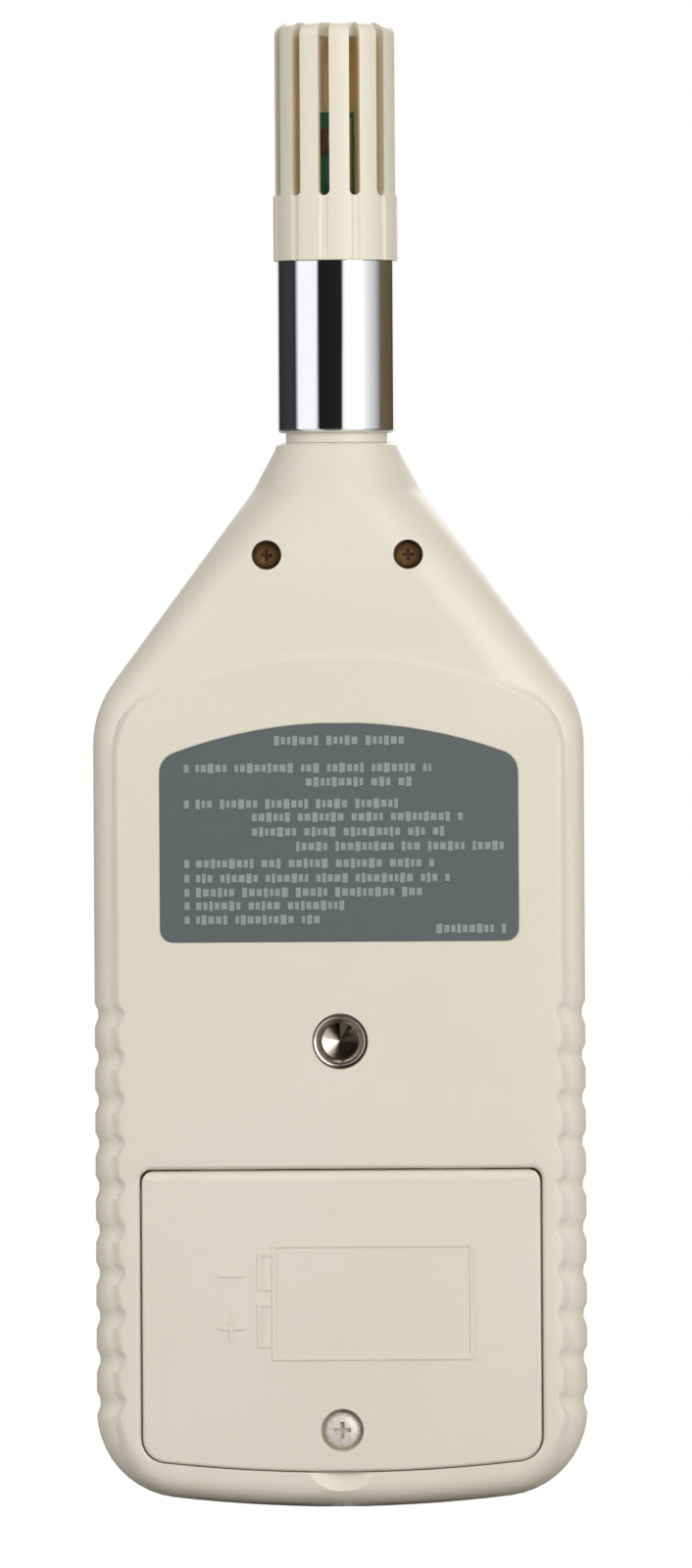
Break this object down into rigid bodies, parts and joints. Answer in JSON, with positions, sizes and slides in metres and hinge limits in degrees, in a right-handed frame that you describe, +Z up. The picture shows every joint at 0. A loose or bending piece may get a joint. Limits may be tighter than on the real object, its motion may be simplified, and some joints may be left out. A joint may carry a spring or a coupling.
{
  "type": "handheld humidity meter",
  "caption": "Hand-held humidity and temperature meter with a slotted sensor cap, display, keys, tripod bush and battery door.",
  "frame": {"origin": "middle of the tripod bush's mouth, level with the raised back panel", "axes": "+Z up towards the sensor cap, -Y out of the back, +Y out of the display side"},
  "size_m": [0.07, 0.0334, 0.212],
  "materials": {
    "housing": "fine matt moulded ABS, warm cream",
    "cap": "satin moulded ABS, pale cream",
    "chrome": "bright plated",
    "nickel": "turned and nickel plated",
    "screw_steel": "zinc plated",
    "dark_screw": "blackened",
    "label": "printed film, matt grey",
    "circuit_board": "green solder resist",
    "sensor_brown": "moulded",
    "bead_black": "dipped epoxy",
    "dark_plastic": "moulded nylon",
    "wire_insulation": "extruded PVC",
    "red_insulation": "extruded PVC",
    "black_insulation": "extruded PVC",
    "ivory_plastic": "moulded nylon",
    "chip_black": "moulded epoxy",
    "clear_window": "clear acrylic",
    "display_glass": "reflective liquid crystal display",
    "diffuser": "white diffuser",
    "contact_rubber": "layered silicone",
    "battery_jacket": "printed steel jacket",
    "foam": "open-cell foam",
    "key_grey": "moulded, fine texture",
    "key_red": "moulded, fine texture"
  },
  "bodies": {
    "housing": {"rear_shell": "housing", "front_shell": "housing", "upper_case_screws": "dark_screw", "lower_case_screws": "dark_screw", "tripod_bush": "nickel", "rating_label": "label", "probe_collar": "chrome", "sensor_holder": "housing", "sensor_board": "circuit_board", "humidity_element": "sensor_brown", "temperature_bead": "bead_black", "sensor_leads": "wire_insulation", "sensor_connector": "ivory_plastic", "main_board": "circuit_board", "board_screws": "screw_steel", "controller_chip": "chip_black", "tact_switches": "chip_black", "display_window": "clear_window", "lcd_frame": "dark_plastic", "lcd_glass": "display_glass", "lcd_backlight": "diffuser", "zebra_strips": "contact_rubber", "battery": "battery_jacket", "battery_snap": "black_insulation", "battery_lead_red": "red_insulation", "battery_lead_black": "black_insulation"},
    "battery_door": {"battery_door": "housing", "battery_foam": "foam"},
    "door_screw": {"door_screw": "screw_steel"},
    "sensor_cap": {"sensor_cap": "cap"},
    "key_power": {"key_power": "key_red"},
    "key_light": {"key_light": "key_grey"},
    "key_max_min": {"key_max_min": "key_grey"},
    "key_hold": {"key_hold": "key_grey"},
    "key_unit": {"key_unit": "key_grey"}
  },
  "joints": [
    {"name": "door_hinge", "type": "hinge", "parent": "housing", "child": "battery_door", "pos_m": [0, 0.0016, -0.0199], "axis": [-1, 0, 0], "range_deg": [0, 45]},
    {"name": "door_screw_travel", "type": "slide", "parent": "battery_door", "child": "door_screw", "axis": [0, -1, 0], "range_m": [0, 0.003]},
    {"name": "cap_pull", "type": "slide", "parent": "housing", "child": "sensor_cap", "axis": [0, 0, 1], "range_m": [0, 0.03]},
    {"name": "key_power_press", "type": "slide", "parent": "housing", "child": "key_power", "axis": [0, -1, 0], "range_m": [0, 0.0008], "stiffness_N_per_m": 1500},
    {"name": "key_light_press", "type": "slide", "parent": "housing", "child": "key_light", "axis": [0, -1, 0], "range_m": [0, 0.0008], "stiffness_N_per_m": 1500},
    {"name": "key_max_min_press", "type": "slide", "parent": "housing", "child": "key_max_min", "axis": [0, -1, 0], "range_m": [0, 0.0008], "stiffness_N_per_m": 1500},
    {"name": "key_hold_press", "type": "slide", "parent": "housing", "child": "key_hold", "axis": [0, -1, 0], "range_m": [0, 0.0008], "stiffness_N_per_m": 1500},
    {"name": "key_unit_press", "type": "slide", "parent": "housing", "child": "key_unit", "axis": [0, -1, 0], "range_m": [0, 0.0008], "stiffness_N_per_m": 1500}
  ]
}
